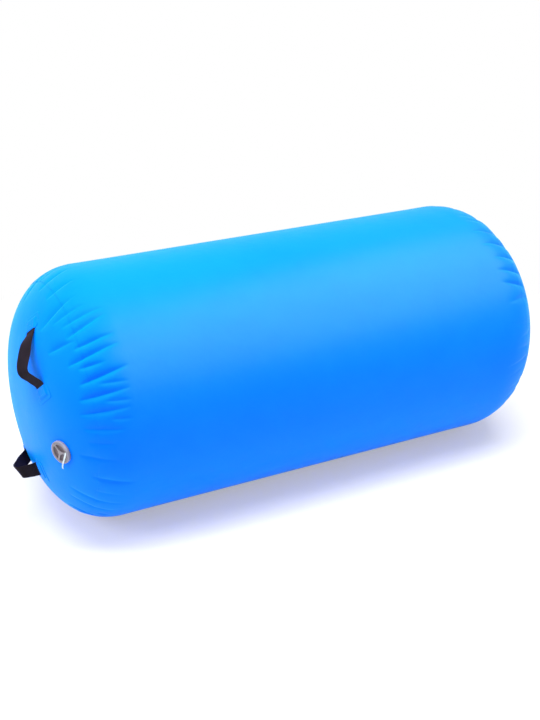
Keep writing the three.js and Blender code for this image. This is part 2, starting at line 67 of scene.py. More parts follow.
ROLL_RADIUS = 0.300
STRAIGHT = 0.978  # length of the wall between the bulges, in metres
FULLNESS = 0.97  # 1 would be a freely blown balloon end
SEAM_RADIUS = 0.2726
SEAM_SWEEP = math.asin(SEAM_RADIUS / ROLL_RADIUS)
AXIS_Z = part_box("tube_wall")[1].z - ROLL_RADIUS
QUARTER_TURN = math.pi / 2

STEP_COUNT = 2000
sweep_steps = np.linspace(0, QUARTER_TURN, STEP_COUNT + 1)
bulge_steps = FULLNESS * np.sin(sweep_steps) ** 2 / np.sqrt(1 + np.sin(sweep_steps) ** 2)
depth_steps = np.concatenate([[0], np.cumsum((bulge_steps[1:] + bulge_steps[:-1]) / 2)])
depth_steps *= ROLL_RADIUS * QUARTER_TURN / STEP_COUNT
POLE_X = STRAIGHT / 2 + depth_steps[-1]


class Crease:
    """One gathered fold: a groove across the rim, deepest near the weld. One flank is broad and
    the other steep, as the cloth tips over under its own weight."""

    EARLY_PEAK, ROUNDED_ENDS = 0.72, 1.15
    ROUNDED_BOTTOM, FALL_OFF = 0.03, 1.35
    BROADER, STEEPER = 0.9, 1.25

    def __init__(self, angle, start, end, depth, broad, steep, drift=0.0):
        self.angle, self.drift = math.radians(angle), math.radians(drift)
        self.start, self.end = math.radians(start + 1.5), math.radians(end)
        self.depth, self.broad, self.steep = depth, broad, steep

    def depth_at(self, sweep, around):
        share = np.clip((sweep - self.start) / (self.end - self.start), 0, 1)
        run = np.sin(math.pi * share ** self.EARLY_PEAK) ** self.ROUNDED_ENDS
        middle = self.angle + self.drift * (share - 0.5)
        turn = (around - middle + math.pi) % (2 * math.pi) - math.pi
        radius = ROLL_RADIUS * np.sin(np.clip(sweep, 0.2, QUARTER_TURN))
        width = np.where(turn < 0, self.broad * self.BROADER, self.steep * self.STEEPER)
        width = width * (0.4 + 0.6 * run)
        off = np.sqrt((turn * radius / width) ** 2 + self.ROUNDED_BOTTOM) - 0.173
        return self.depth * run * np.exp(-self.FALL_OFF * off)


def gathered_creases(seed, placed, slack):
    """Some creases are placed one by one, and the rest follow at the same uneven spacing. slack
    says how deep they gather at an angle."""
    rng = np.random.default_rng(seed)
    creases = [Crease(*row) for row in placed]
    taken = [row[0] for row in placed]
    angle = 0.0
    while angle < 360:
        apart = min((abs((angle - t + 180) % 360 - 180) for t in taken), default=360)
        if apart > 5.5:
            strong = rng.random() < 0.55
            flanks = rng.uniform(0.010, 0.014), rng.uniform(0.0045, 0.0065)
            if rng.random() < 0.35 or 270 < angle or angle < 90:
                flanks = flanks[::-1]
            depth = rng.uniform(0.0055, 0.0085) if strong else rng.uniform(0.002, 0.0045)
            start = rng.uniform(44, 60) if strong else rng.uniform(54, 68)
            depth *= slack(angle)
            creases.append(
                Crease(angle, start, rng.uniform(77, 90), depth, *flanks, rng.uniform(-3.5, 3.5))
            )
        angle += rng.uniform(5.5, 9.5)
    return creases


# Degrees round the end, sweep from and to in degrees, depth, broad and steep flank in metres, and
# how many degrees the fold drifts along its length.
VALVE_END_CREASES = [
    (84, 57, 82, 0.0040, 0.011, 0.006, 0),
    (96.5, 57, 80, 0.0040, 0.012, 0.006, 0),
    (108.5, 44, 75, 0.0055, 0.013, 0.006, -2),
    (114.5, 53, 78, 0.0030, 0.008, 0.005, 0),
    (119.5, 57, 87, 0.0045, 0.010, 0.005, -1),
    (124.5, 57, 86, 0.0070, 0.012, 0.006, -4),
    (128.3, 43, 64, 0.0050, 0.012, 0.005, 3),
    (132.8, 59, 87, 0.0070, 0.011, 0.005, -1.5),
    (138.3, 53, 88, 0.0080, 0.013, 0.005, -3.5),
    (143.2, 59, 77, 0.0055, 0.009, 0.005, 0),
    (148.6, 57, 90, 0.0090, 0.014, 0.005, -4),
    (152.5, 68, 88, 0.0030, 0.008, 0.004, 1),
    (156.8, 55, 88, 0.0075, 0.013, 0.005, -2),
    (160.3, 70, 88, 0.0030, 0.008, 0.004, 1),
    (164.2, 54, 87, 0.0060, 0.012, 0.005, -1),
    (168.2, 72, 87, 0.0025, 0.008, 0.004, 1),
    (172.4, 55, 83, 0.0048, 0.012, 0.005, 1),
    (179, 57, 77, 0.0030, 0.010, 0.006, 0),
    (187, 51, 77, 0.0038, 0.012, 0.006, 0),
]
PLAIN_END_CREASES = [
    (76, 50, 88, 0.0095, 0.016, 0.007, 3),
    (69, 56, 86, 0.0080, 0.013, 0.006, -2),
    (85, 60, 84, 0.0030, 0.012, 0.007, 2),
    (98, 54, 87, 0.0055, 0.013, 0.006, 2),
    (112, 52, 90, 0.0080, 0.014, 0.006, 2),
    (121, 50, 90, 0.0090, 0.016, 0.006, 2),
    (130, 56, 86, 0.0060, 0.012, 0.006, 0),
    (138, 54, 88, 0.0070, 0.013, 0.006, -2),
    (145, 58, 88, 0.0065, 0.012, 0.006, -3),
    (153, 56, 86, 0.0045, 0.012, 0.007, 2),
]


def valve_end_slack(angle):
    """The cloth is drawn tighter from the back up to the top, and low in front, so it gathers less
    there."""
    if 15 < angle < 100:
        return 0.3
    return 0.5 if 185 < angle < 262 else 1


def plain_end_slack(angle):
    """Here it is tighter in front and low in front."""
    return 0.45 if 160 < angle < 262 else 1


CREASES = {
    -1: gathered_creases(3, VALVE_END_CREASES, valve_end_slack),
    1: gathered_creases(11, PLAIN_END_CREASES, plain_end_slack),
}
RIM_SWELL, RIM_SWELL_REACH = 0.0022, 0.28
FLOOR_SOFTNESS = 0.0012


def relief(end, sweep, around):
    """How far the skin stands above its smooth form: grooves, with the cloth between them fuller."""
    grooves = 0.0
    for crease in CREASES[end]:
        grooves = grooves + crease.depth_at(sweep, around)
    swell = RIM_SWELL * np.exp(-(((sweep - SEAM_SWEEP - 0.05) / RIM_SWELL_REACH) ** 2))
    return swell - grooves


def skin_point(end, sweep, around, lift=0.0, creased=True):
    """A point of the skin. end is -1 at the valve, sweep runs from the pole to a quarter turn and
    then along the straight wall, and around is the angle about the roll's axis. The floor presses
    the underside flat, with a soft edge."""
    sweep, around, lift = np.broadcast_arrays(
        np.asarray(sweep, float), np.asarray(around, float), np.asarray(lift, float)
    )
    curved = np.minimum(sweep, QUARTER_TURN)
    straight = np.maximum(sweep - QUARTER_TURN, 0)
    swell = FULLNESS * np.sin(curved) ** 2 / np.sqrt(1 + np.sin(curved) ** 2)
    long = np.hypot(np.cos(curved), swell)
    nx, nr = np.cos(curved) / long, swell / long
    lift = lift + (relief(end, sweep, around) if creased else 0.0)
    x = POLE_X - np.interp(curved, sweep_steps, depth_steps) - straight * ROLL_RADIUS + lift * nx
    r = ROLL_RADIUS * np.sin(curved) + lift * nr
    z = r * np.sin(around) + AXIS_Z
    z = (z + np.sqrt(z * z + FLOOR_SOFTNESS ** 2)) / 2
    return np.stack([end * x, r * np.cos(around), z], -1)


def grid_faces(rows, columns, closed=True, flip=False, base=0):
    across = columns if closed else columns - 1
    i, j = np.meshgrid(np.arange(rows - 1), np.arange(across), indexing="ij")
    a, b = i * columns + j, i * columns + (j + 1) % columns
    faces = np.stack([a, b, b + columns, a + columns], -1).reshape(-1, 4) + base
    return faces[:, ::-1] if flip else faces


def make_object(name, points, faces, uv=None, marks=None):
    """A smooth-shaded mesh object at the origin. uv and marks hold a value for each vertex."""
    mesh = bpy.data.meshes.new(name)
    mesh.from_pydata([tuple(p) for p in np.asarray(points)], [], [tuple(f) for f in faces])
    mesh.polygons.foreach_set("use_smooth", [True] * len(mesh.polygons))
    if uv is not None:
        layer = mesh.uv_layers.new(name="UVMap")
        corner = np.zeros(len(mesh.loops), int)
        mesh.loops.foreach_get("vertex_index", corner)
        layer.data.foreach_set("uv", np.asarray(uv, np.float32)[corner].ravel())
    for key, values in (marks or {}).items():
        attribute = mesh.attributes.new(key, "FLOAT", "POINT")
        attribute.data.foreach_set("value", np.asarray(values, np.float32).ravel())
    mesh.validate()
    mesh.update()
    made = bpy.data.objects.new(name, mesh)
    bpy.context.scene.collection.objects.link(made)
    return made


class Shader:
    """Builds one material's nodes."""

    def __init__(self, name):
        self.material = bpy.data.materials.new(name)
        self.material.use_nodes = True
        self.nodes, self.links = self.material.node_tree.nodes, self.material.node_tree.links
        self.nodes.clear()
        self.out = self.nodes.new("ShaderNodeOutputMaterial")
        self.base = self.nodes.new("ShaderNodeBsdfPrincipled")
        self.links.new(self.base.outputs["BSDF"], self.out.inputs["Surface"])

    def set(self, **values):
        for key, value in values.items():
            self.base.inputs[key.replace("_", " ")].default_value = value

    def node(self, kind, inputs=None, **settings):
        made = self.nodes.new(kind)
        for key, value in settings.items():
            setattr(made, key, value)
        for key, value in (inputs or {}).items():
            if isinstance(value, bpy.types.NodeSocket):
                self.links.new(value, made.inputs[key])
            else:
                made.inputs[key].default_value = value
        return made

    def object_place(self):
        return self.node("ShaderNodeTexCoord").outputs["Object"]

    def uv(self):
        return self.node("ShaderNodeUVMap", uv_map="UVMap").outputs["UV"]

    def attribute(self, name):
        return self.node("ShaderNodeAttribute", attribute_name=name).outputs["Fac"]

    def noise(self, where, scale, detail=3.0, rough=0.5):
        found = self.node(
            "ShaderNodeTexNoise", {"Vector": where, "Scale": scale, "Detail": detail, "Roughness": rough}
        )
        return found.outputs["Fac"]

    def wave(self, where, scale, direction="X", profile="SIN", wobble=0.0):
        found = self.node(
            "ShaderNodeTexWave",
            {"Vector": where, "Scale": scale, "Distortion": wobble, "Detail": 0.0},
            bands_direction=direction,
            wave_profile=profile,
        )
        return found.outputs["Fac"]

    def math(self, operation, a, b=0.0, c=0.0):
        return self.node("ShaderNodeMath", {0: a, 1: b, 2: c}, operation=operation).outputs[0]

    def mixed(self, a, share, b):
        """A share of a, and the rest from b."""
        return self.math("ADD", self.math("MULTIPLY", a, share), self.math("MULTIPLY", b, 1 - share))

    def spread(self, value, low, high):
        """value, from 0 to 1, spread over low to high."""
        found = self.node("ShaderNodeMapRange", {"Value": value, "To Min": low, "To Max": high})
        return found.outputs["Result"]

    def colours(self, value, *stops):
        ramp = self.node("ShaderNodeValToRGB", {"Fac": value})
        while len(ramp.color_ramp.elements) < len(stops):
            ramp.color_ramp.elements.new(0.5)
        for element, (place, colour) in zip(ramp.color_ramp.elements, stops):
            element.position, element.color = place, (*colour, 1)
        return ramp.outputs["Color"]

    def colour(self, socket):
        self.links.new(socket, self.base.inputs["Base Color"])

    def roughness(self, socket):
        self.links.new(socket, self.base.inputs["Roughness"])

    def relief(self, *layers):
        """Bumps, each a height and its real depth in metres."""
        normal = None
        for height, depth in layers:
            inputs = {"Height": height, "Distance": depth, "Strength": 1.0}
            if normal is not None:
                inputs["Normal"] = normal
            normal = self.node("ShaderNodeBump", inputs).outputs["Normal"]
        self.links.new(normal, self.base.inputs["Normal"])


def dress(objects, material):
    for piece in objects:
        piece.data.materials.clear()
        piece.data.materials.append(material)


def coated_cloth(name, low, high, rough=0.40):
    """PVC coating over a polyester weave: the threads just show through, and welds are pressed in
    with a small diamond pattern."""
    s = Shader(name)
    s.set(IOR=1.24, Specular_IOR_Level=0.12, Sheen_Weight=0.3, Sheen_Roughness=0.45)
    s.set(Sheen_Tint=(0.0, 0.75, 1.0, 1.0))
    place, uv = s.object_place(), s.uv()
    tone = s.mixed(s.noise(place, 2.3, 4), 0.7, s.noise(place, 21, 3))
    s.colour(s.colours(tone, (0.3, low), (0.7, high)))
    s.roughness(s.spread(s.noise(place, 34, 4, 0.6), rough - 0.05, rough + 0.07))
    threads = s.math("MAXIMUM", s.wave(uv, 140, "X"), s.wave(uv, 140, "Y"))
    weld = s.attribute("weld")
    diamonds = s.math("MULTIPLY", s.wave(uv, 95, "DIAGONAL", "TRI"), s.wave(uv, 60, "Y", "TRI"))
    press = s.math("MULTIPLY", diamonds, weld)
    s.relief((s.noise(place, 55, 3), 0.00035), (threads, 0.00003), (press, 0.0002))
    return s.material


SKIN_LOW, SKIN_HIGH = (0.000, 0.148, 0.940), (0.001, 0.166, 0.970)
skin_cloth = coated_cloth("azure_coated_cloth", SKIN_LOW, SKIN_HIGH)

COLUMNS = 900
around = np.arange(COLUMNS) * 2 * math.pi / COLUMNS
END_LAP, WALL_LAP = 0.0005, 0.0007
VALVE_HOLE = 0.0225

valve_joint = next(j for j in frame["joints"] if j["name"] == "cap_turn")
VALVE_PLACE = np.array(valve_joint["pos_m"])
VALVE_AXIS = np.array(valve_joint["axis"])


def arc_along(sweeps):
    """Distance along the skin from the pole, for the weave's own scale."""
    curved = np.minimum(sweeps, QUARTER_TURN)
    straight = np.maximum(sweeps - QUARTER_TURN, 0)
    return ROLL_RADIUS * (curved / np.sqrt(1 + 0.4 * np.sin(curved) ** 2) + straight)


def make_disc(name, end):
    """An end disc. Its middle has every fourth line of its rim, and the pole closes it."""
    coarse = np.concatenate([np.linspace(0.03, 0.16, 4), np.linspace(0.22, 0.68, 14)])
    fine = np.concatenate([np.linspace(0.70, SEAM_SWEEP, 52), [SEAM_SWEEP + 0.004]])
    quarter = around[::4]
    points = [skin_point(end, 0.0, 0.0)[None]]
    places = [np.array([[0.0, 0.0]])]
    marks = [np.zeros(1)]
    for rows, angles in ((coarse, quarter), (fine, around)):
        sweep, turn = np.meshgrid(rows, angles, indexing="ij")
        lift = np.where(sweep > SEAM_SWEEP, -0.0006, 0.0)
        points.append(skin_point(end, sweep, turn, lift).reshape(-1, 3))
        along = arc_along(sweep)
        places.append(np.stack([along * np.cos(turn), along * np.sin(turn)], -1).reshape(-1, 2))
        marks.append(np.clip((sweep - SEAM_SWEEP + 0.05) / 0.01, 0, 1).ravel())
    points, places, marks = (np.concatenate(x) for x in (points, places, marks))
    q, first_fine = len(quarter), 1 + len(coarse) * len(quarter)
    faces = [(0, 1 + j, 1 + (j + 1) % q) for j in range(q)]
    faces += [tuple(f) for f in grid_faces(len(coarse), q, flip=True, base=1)]
    last = 1 + (len(coarse) - 1) * q
    for j in range(q):
        outer = [first_fine + (4 * j + k) % COLUMNS for k in range(5)]
        faces.append((last + (j + 1) % q, last + j, *outer))
    faces += [tuple(f) for f in grid_faces(len(fine), COLUMNS, flip=True, base=first_fine)]
    if end > 0:
        faces = [f[::-1] for f in faces]
    else:
        off = points - VALVE_PLACE
        off -= np.outer(off @ VALVE_AXIS, VALVE_AXIS)
        inside = np.linalg.norm(off, axis=1) < VALVE_HOLE
        near_valve = points @ VALVE_AXIS > VALVE_PLACE @ VALVE_AXIS - 0.05
        inside &= near_valve
        faces = [f for f in faces if not all(inside[v] for v in f)]
    return make_object(name, points, faces, places, {"weld": marks})


def make_wall():
    """The tube wall, with the lap of each end weld and of its own lengthwise weld standing up."""
    tuck = np.array([-0.014, -0.0135])
    near = np.concatenate([SEAM_SWEEP + tuck, np.linspace(SEAM_SWEEP - 0.01, 1.75, 37)])
    far = np.linspace(1.75, QUARTER_TURN + STRAIGHT / 2 / ROLL_RADIUS, 11)[1:]
    half = np.concatenate([near, far])
    weld_low, weld_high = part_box("wall_seam_tape")
    middle = (weld_low + weld_high) / 2
    weld_angle = math.atan2(middle.z - AXIS_Z, middle.y)
    points, places, marks = [], [], []
    for end, rows in ((-1, half), (1, half[::-1][1:])):
        sweep, turn = np.meshgrid(rows, around, indexing="ij")
        lap = END_LAP * np.clip((0.05 - (sweep - SEAM_SWEEP)) / 0.02, 0, 1)
        lap = np.where(sweep <= SEAM_SWEEP - 0.01399, -0.0003, lap)
        off = ((turn - weld_angle + math.pi) % (2 * math.pi) - math.pi) * ROLL_RADIUS
        lap = lap + WALL_LAP * (off > -0.017) * np.clip((0.024 - off) / 0.012, 0, 1)
        points.append(skin_point(end, sweep, turn, lap).reshape(-1, 3))
        along = arc_along(sweep)
        places.append(np.stack([end * (POLE_X - along), turn * ROLL_RADIUS], -1).reshape(-1, 2))
        mark = np.maximum(np.abs(off) < 0.016, np.clip((SEAM_SWEEP + 0.045 - sweep) / 0.01, 0, 1))
        marks.append(mark.ravel())
    points, places, marks = (np.concatenate(x) for x in (points, places, marks))
    faces = grid_faces(2 * len(half) - 1, COLUMNS, flip=True)
    return make_object("wall_skin", points, faces, places, {"weld": marks})


wall_skin = make_wall()
valve_end_skin = make_disc("valve_end_skin", -1)
plain_end_skin = make_disc("plain_end_skin", 1)
dress([wall_skin, valve_end_skin, plain_end_skin], skin_cloth)
for made, node in (
    (wall_skin, "tube_wall"),
    (valve_end_skin, "valve_end_disc"),
    (plain_end_skin, "plain_end_disc"),
):
    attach(made, "inflated_body")
    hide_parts(node)

# ---- Welding tapes inside the skin -------------------------------------------------------------
# Blue PVC tape, welded inside over both end seams and the wall's lengthwise joint. The ring tapes
# gather with the skin they lie on.

tape_cloth = coated_cloth("blue_welding_tape", (0.010, 0.150, 0.700), (0.020, 0.190, 0.800), 0.5)


def make_ring_tape(name, end):
    rows = np.linspace(SEAM_SWEEP - 0.075, SEAM_SWEEP + 0.075, 10)
    turns = around[::2]
    sweep, turn = np.meshgrid(np.concatenate([rows, rows[::-1]]), turns, indexing="ij")
    lift = np.where(np.arange(len(sweep))[:, None] < len(rows), -0.0016, -0.0024)
    points = skin_point(end, sweep, turn, lift)
    points[..., 2] = np.maximum(points[..., 2], 0.0016)
    places = np.stack([arc_along(sweep), turn * ROLL_RADIUS], -1)
    faces = [tuple(f) for f in grid_faces(len(sweep), len(turns), flip=end < 0)]
    for j in range(len(turns)):
        k, last = (j + 1) % len(turns), (len(sweep) - 1) * len(turns)
        face = (last + j, last + k, k, j)
        faces.append(face[::-1] if end < 0 else face)
    marks = {"weld": np.ones(sweep.size)}
    return make_object(name, points.reshape(-1, 3), faces, places.reshape(-1, 2), marks)


for name, end in (("valve_end", -1), ("plain_end", 1)):
    tape = make_ring_tape(f"{name}_ring_tape", end)
    dress([tape], tape_cloth)
    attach(tape, "inflated_body")
    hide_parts(f"{name}_seam_tape")
for node in ("wall_seam_tape", "valve_backing_patch"):
    dress([frame["nodes"][node]], tape_cloth)

# ---- Carry handles -----------------------------------------------------------------------------
# Black woven polyester webbing, 34 mm wide. Each handle is one strap: its two ends lie flat on the
# skin under welded patches, and the middle stands up as a soft, slouched loop.

STRAP_WIDTH, STRAP_THICK = 0.034, 0.0021
SPANS = {"upper_handle": 0.133, "lower_handle": 0.120}
FOOT = 0.024
BOND_GAP = 0.0003
STRAP_STEP, EASING_PASSES, FOOT_EASE = 0.0011, 56, 0.008
LIFT_OFF = 0.013
JOINTS = {j["name"]: j for j in frame["joints"]}


def skin_under(end, point, lift):
    """The place on the skin straight behind a point, at a height above it."""
    radius = np.clip(np.hypot(point[..., 1], point[..., 2] - AXIS_Z), 0, ROLL_RADIUS * 0.999)
    turn = np.arctan2(point[..., 2] - AXIS_Z, point[..., 1])
    return skin_point(end, np.arcsin(radius / ROLL_RADIUS), turn, lift)


class HandlePlace:
    """A handle's own directions: along from the inner root to the outer, out of the skin, and
    inward to the roll's axis."""

    def __init__(self, name):
        joint = JOINTS[f"{name}_fold"]
        self.end = -1 if name.startswith("valve") else 1
        middle, along = np.array(joint["pos_m"]), np.array(joint["axis"])
        axis = np.array([0, 0, AXIS_Z])
        self.span = SPANS[name.split("_end_")[1]]
        roots = [middle + k * along * self.span / 2 for k in (-1, 1)]
        if np.linalg.norm((roots[0] - axis)[1:]) > np.linalg.norm((roots[1] - axis)[1:]):
            along = -along
        self.middle, self.along = middle, along
        a = skin_under(self.end, middle, 0.0)
        b = skin_under(self.end, middle, 0.01)
        out = b - a
        out -= along * (out @ along)
        self.out = out / np.linalg.norm(out)
        inward = np.cross(self.out, along)
        if inward[1:] @ (axis - middle)[1:] < 0:
            inward = -inward
        self.inward = inward
        self.flip = np.linalg.det(np.stack([self.along, self.inward, self.out])) < 0

    def on_skin(self, along, across, lift):
        along, across, lift = np.broadcast_arrays(along, across, lift)
        flat = self.middle + along[..., None] * self.along + across[..., None] * self.inward
        return skin_under(self.end, flat, lift)


def loop_line(knots):
    """The strap's middle line from one end to the other, feet included, at even steps: the way
    along the handle, the height above the skin, the shift inward and the roll in degrees."""
    first, last = knots[0], knots[-1]
    line = [(first[0] - FOOT, 0, 0, 0), (first[0] - 0.003, 0, 0, 0), *knots, (last[0] + 0.003, 0, 0, 0)]
    line = np.array(line + [(last[0] + FOOT, 0, 0, 0)], float)
    run = np.concatenate([[0], np.cumsum(np.linalg.norm(np.diff(line[:, :3], axis=0), axis=1))])
    even = np.linspace(0, run[-1], int(run[-1] / STRAP_STEP))
    line = np.stack([np.interp(even, run, line[:, k]) for k in range(4)], -1)
    free = np.clip((np.minimum(even, run[-1] - even) - FOOT) / FOOT_EASE, 0, 1)[1:-1, None]
    for _ in range(EASING_PASSES):
        line[1:-1] += ((line[:-2] + line[2:]) / 2 - line[1:-1]) / 2 * free
    return line, even


def strap_section():
    """The webbing's cross-section: flat faces, with the selvedges rounded and a little thicker."""
    half, thick = STRAP_WIDTH / 2, STRAP_THICK / 2
    across = np.linspace(-half + 0.0012, half - 0.0012, 19)
    edge = np.abs(across) > half - 0.004
    top = np.stack([across, thick + 0.00012 * edge], -1)
    turn = np.linspace(QUARTER_TURN, -QUARTER_TURN, 6)[1:-1]
    right = np.stack([half - 0.0012 + 0.0012 * np.cos(turn), (thick + 0.0001) * np.sin(turn)], -1)
    section = np.concatenate([top, right])
    return np.concatenate([section, -section])


def make_strap(name, place, knots):
    """One strap: it is laid on the skin at its ends, and stands free once it has lifted off."""
    line, run = loop_line(knots)
    section = strap_section()
    height, roll = line[:, 1], np.radians(line[:, 3])
    centre = place.on_skin(line[:, 0], 0.0, BOND_GAP + STRAP_THICK / 2)
    centre = centre + height[:, None] * place.out + line[:, 2:3] * place.inward
    tangent = np.gradient(centre, axis=0)
    tangent /= np.linalg.norm(tangent, axis=1)[:, None]
    wide = place.inward - tangent * (tangent @ place.inward)[:, None]
    wide /= np.linalg.norm(wide, axis=1)[:, None]
    side = np.cross(tangent, wide) * (-1 if place.flip else 1)
    wide = np.cos(roll)[:, None] * wide + np.sin(roll)[:, None] * side
    face = np.cross(tangent, wide) * (-1 if place.flip else 1)
    across, above = section[None, :, :1], section[None, :, 1:]
    free = centre[:, None] + across * wide[:, None] + above * face[:, None]
    laid = place.on_skin(line[:, :1], across[..., 0], BOND_GAP + STRAP_THICK / 2 + above[..., 0])
    share = np.clip(height / LIFT_OFF, 0, 1)[:, None, None]
    share = share * share * (3 - 2 * share)
    points = laid * (1 - share) + free * share
    rows, cols = points.shape[:2]
    faces = [tuple(f) for f in grid_faces(rows, cols, flip=not place.flip)]
    caps = [tuple(range(cols)), tuple((rows - 1) * cols + k for k in range(cols))[::-1]]
    faces += [f[::-1] if place.flip else f for f in caps]
    places = np.stack(np.broadcast_arrays(run[:, None], section[None, :, 0]), -1)
    return make_object(name, points.reshape(-1, 3), faces, places.reshape(-1, 2))


def woven_webbing():
    """Warp cords run along the strap, and the weft shows between them as short slanted ribs."""
    s = Shader("black_webbing")
    s.set(IOR=1.5, Specular_IOR_Level=0.08, Sheen_Weight=0.03, Sheen_Roughness=0.5)
    s.set(Sheen_Tint=(0.8, 0.55, 0.75, 1.0))
    place, uv = s.object_place(), s.uv()
    cords = s.wave(uv, 105, "Y")
    ribs = s.wave(uv, 120, "X", wobble=0.4)
    twill = s.wave(uv, 90, "DIAGONAL", "TRI")
    weave = s.mixed(cords, 0.55, s.math("MULTIPLY", ribs, twill))
    wear = s.noise(place, 60, 4)
    tone = s.mixed(weave, 0.5, wear)
    s.colour(s.colours(tone, (0.2, (0.003, 0.0024, 0.0042)), (0.75, (0.013, 0.0085, 0.015))))
    s.roughness(s.spread(wear, 0.62, 0.8))
    s.relief((weave, 0.00028), (s.noise(place, 900, 2), 0.00006))
    return s.material


webbing = woven_webbing()
patch_cloth = coated_cloth("azure_patch_cloth", SKIN_LOW, SKIN_HIGH)
# Way along, height and shift inward in metres, and roll in degrees.
LOOP_KNOTS = {
    "upper_handle": [
        (-0.0665, 0, 0, 0), (-0.0455, 0.015, 0.001, -2), (-0.0385, 0.0262, 0.003, 0),
        (-0.0285, 0.0305, 0.003, 11), (-0.0135, 0.0275, 0.003, 22), (0.0095, 0.0195, 0.001, 28),
        (0.0375, 0.0115, 0.001, 20), (0.0565, 0.0068, 0, 10), (0.0665, 0, 0, 0),
    ],
    "lower_handle": [
        (-0.060, 0, 0, 0), (-0.042, 0.027, 0, 9), (-0.039, 0.040, 0.003, 14),
        (-0.024, 0.0415, 0.004, 16), (-0.004, 0.031, 0.002, 11), (0.020, 0.0215, 0, 6),
        (0.040, 0.011, -0.002, 0), (0.060, 0, 0, 0),
    ],
}
handle_places, patches = {}, {}
for end_name in ("valve_end", "plain_end"):
    for kind, knots in LOOP_KNOTS.items():
        name = f"{end_name}_{kind}"
        place = handle_places[name] = HandlePlace(name)
        strap = make_strap(f"{name}_strap", place, knots)
        dress([strap], webbing)
        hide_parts(f"{name}_loop", f"{name}_inner_strap_end", f"{name}_outer_strap_end")
        root = place.middle
        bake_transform(strap)


def make_patch(name, place, side):
    """A welded patch over one strap end: a rounded rectangle that drapes over the webbing."""
    long, half, corner, cloth = 0.035, 0.028, 0.009, 0.0009
    steps = np.linspace(-1, 1, 47)
    a, b = np.meshgrid(steps, steps, indexing="ij")
    x, y = (a + 1) / 2 * long, b * half
    cx, cy = np.clip(x, corner, long - corner), np.clip(y, -half + corner, half - corner)
    dx, dy = x - cx, y - cy
    flat = np.maximum(np.abs(dx), np.abs(dy))
    reach = np.maximum(np.hypot(dx, dy), 1e-9)
    x, y = cx + dx * flat / reach, cy + dy * flat / reach
    over = np.clip((FOOT + 0.0022 - x) / 0.0035, 0, 1)
    over = over * np.clip((STRAP_WIDTH / 2 + 0.0026 - np.abs(y)) / 0.004, 0, 1)
    over = over * over * (3 - 2 * over)
    edge = 1 - np.maximum(np.abs(a), np.abs(b))
    edge = np.clip(edge / 0.06, 0, 1)
    lift = 0.0002 + cloth * np.sqrt(edge * (2 - edge)) + (STRAP_THICK + 0.0002) * over
    points = place.on_skin(side * (place.span / 2 + x), y, lift)
    rows = len(steps)
    faces = [tuple(f) for f in grid_faces(rows, rows, closed=False, flip=(side > 0) == place.flip)]
    rim = [(0, j) for j in range(rows)] + [(i, rows - 1) for i in range(1, rows)]
    rim += [(rows - 1, j) for j in range(rows - 2, -1, -1)] + [(i, 0) for i in range(rows - 2, 0, -1)]
    low = place.on_skin(
        np.array([side * (place.span / 2 + x[r]) for r in rim]), np.array([y[r] for r in rim]), -0.0004
    )
    base, count = rows * rows, len(rim)
    for k in range(count):
        n = (k + 1) % count
        face = (rim[k][0] * rows + rim[k][1], rim[n][0] * rows + rim[n][1], base + n, base + k)
        faces.append(face if (side > 0) == place.flip else face[::-1])
    points = np.concatenate([points.reshape(-1, 3), low])
    places = np.concatenate([np.stack([x, y], -1).reshape(-1, 2), [[x[r], y[r]] for r in rim]])
    weld = np.concatenate([(1 - over).ravel(), np.zeros(count)])
    return make_object(name, points, faces, places, {"weld": weld})


for name, place in handle_places.items():
    for side, root in ((-1, "inner"), (1, "outer")):
        patch = make_patch(f"{name}_{root}_cover", place, side)
        dress([patch], patch_cloth)
        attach(patch, "inflated_body")
        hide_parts(f"{name}_{root}_patch")
        patches[f"{name}_{root}"] = (patch, place, side)

# ---- Stitching on the handle patches -----------------------------------------------------------
# Blue polyester thread. Each strap end is sewn to its patch round a small box before the patch is
# welded down, so the thread never goes through the airtight skin.

STITCH_LENGTH, STITCH_PITCH, THREAD = 0.0026, 0.0036, 0.0007
thread = Shader("blue_thread")
thread.set(Specular_IOR_Level=0.3, Sheen_Weight=0.3)
strands = thread.wave(thread.object_place(), 800, "DIAGONAL")
thread.colour(thread.colours(strands, (0.2, (0.0, 0.08, 0.42)), (0.8, (0.01, 0.16, 0.70))))
thread.roughness(thread.spread(strands, 0.55, 0.7))
thread.relief((strands, 0.0001))


def stitch_shape():
    """One stitch: a short thread, fat in the middle, that dips at both ends."""
    along = np.linspace(-0.5, 0.5, 5)
    points, sides = [], 6
    for t in along:
        size = THREAD / 2 * (0.45 + 0.55 * math.cos(math.pi * t * 0.92))
        for k in range(sides):
            turn = 2 * math.pi * k / sides
            dip = -0.0006 * (2 * t) ** 4
            points.append((STITCH_LENGTH * t, size * math.cos(turn), size * math.sin(turn) + dip))
    faces = [tuple(f) for f in grid_faces(len(along), sides, flip=True)]
    faces += [tuple(range(sides)), tuple(range((len(along) - 1) * sides, len(along) * sides))[::-1]]
    return make_object("stitch", points, faces)


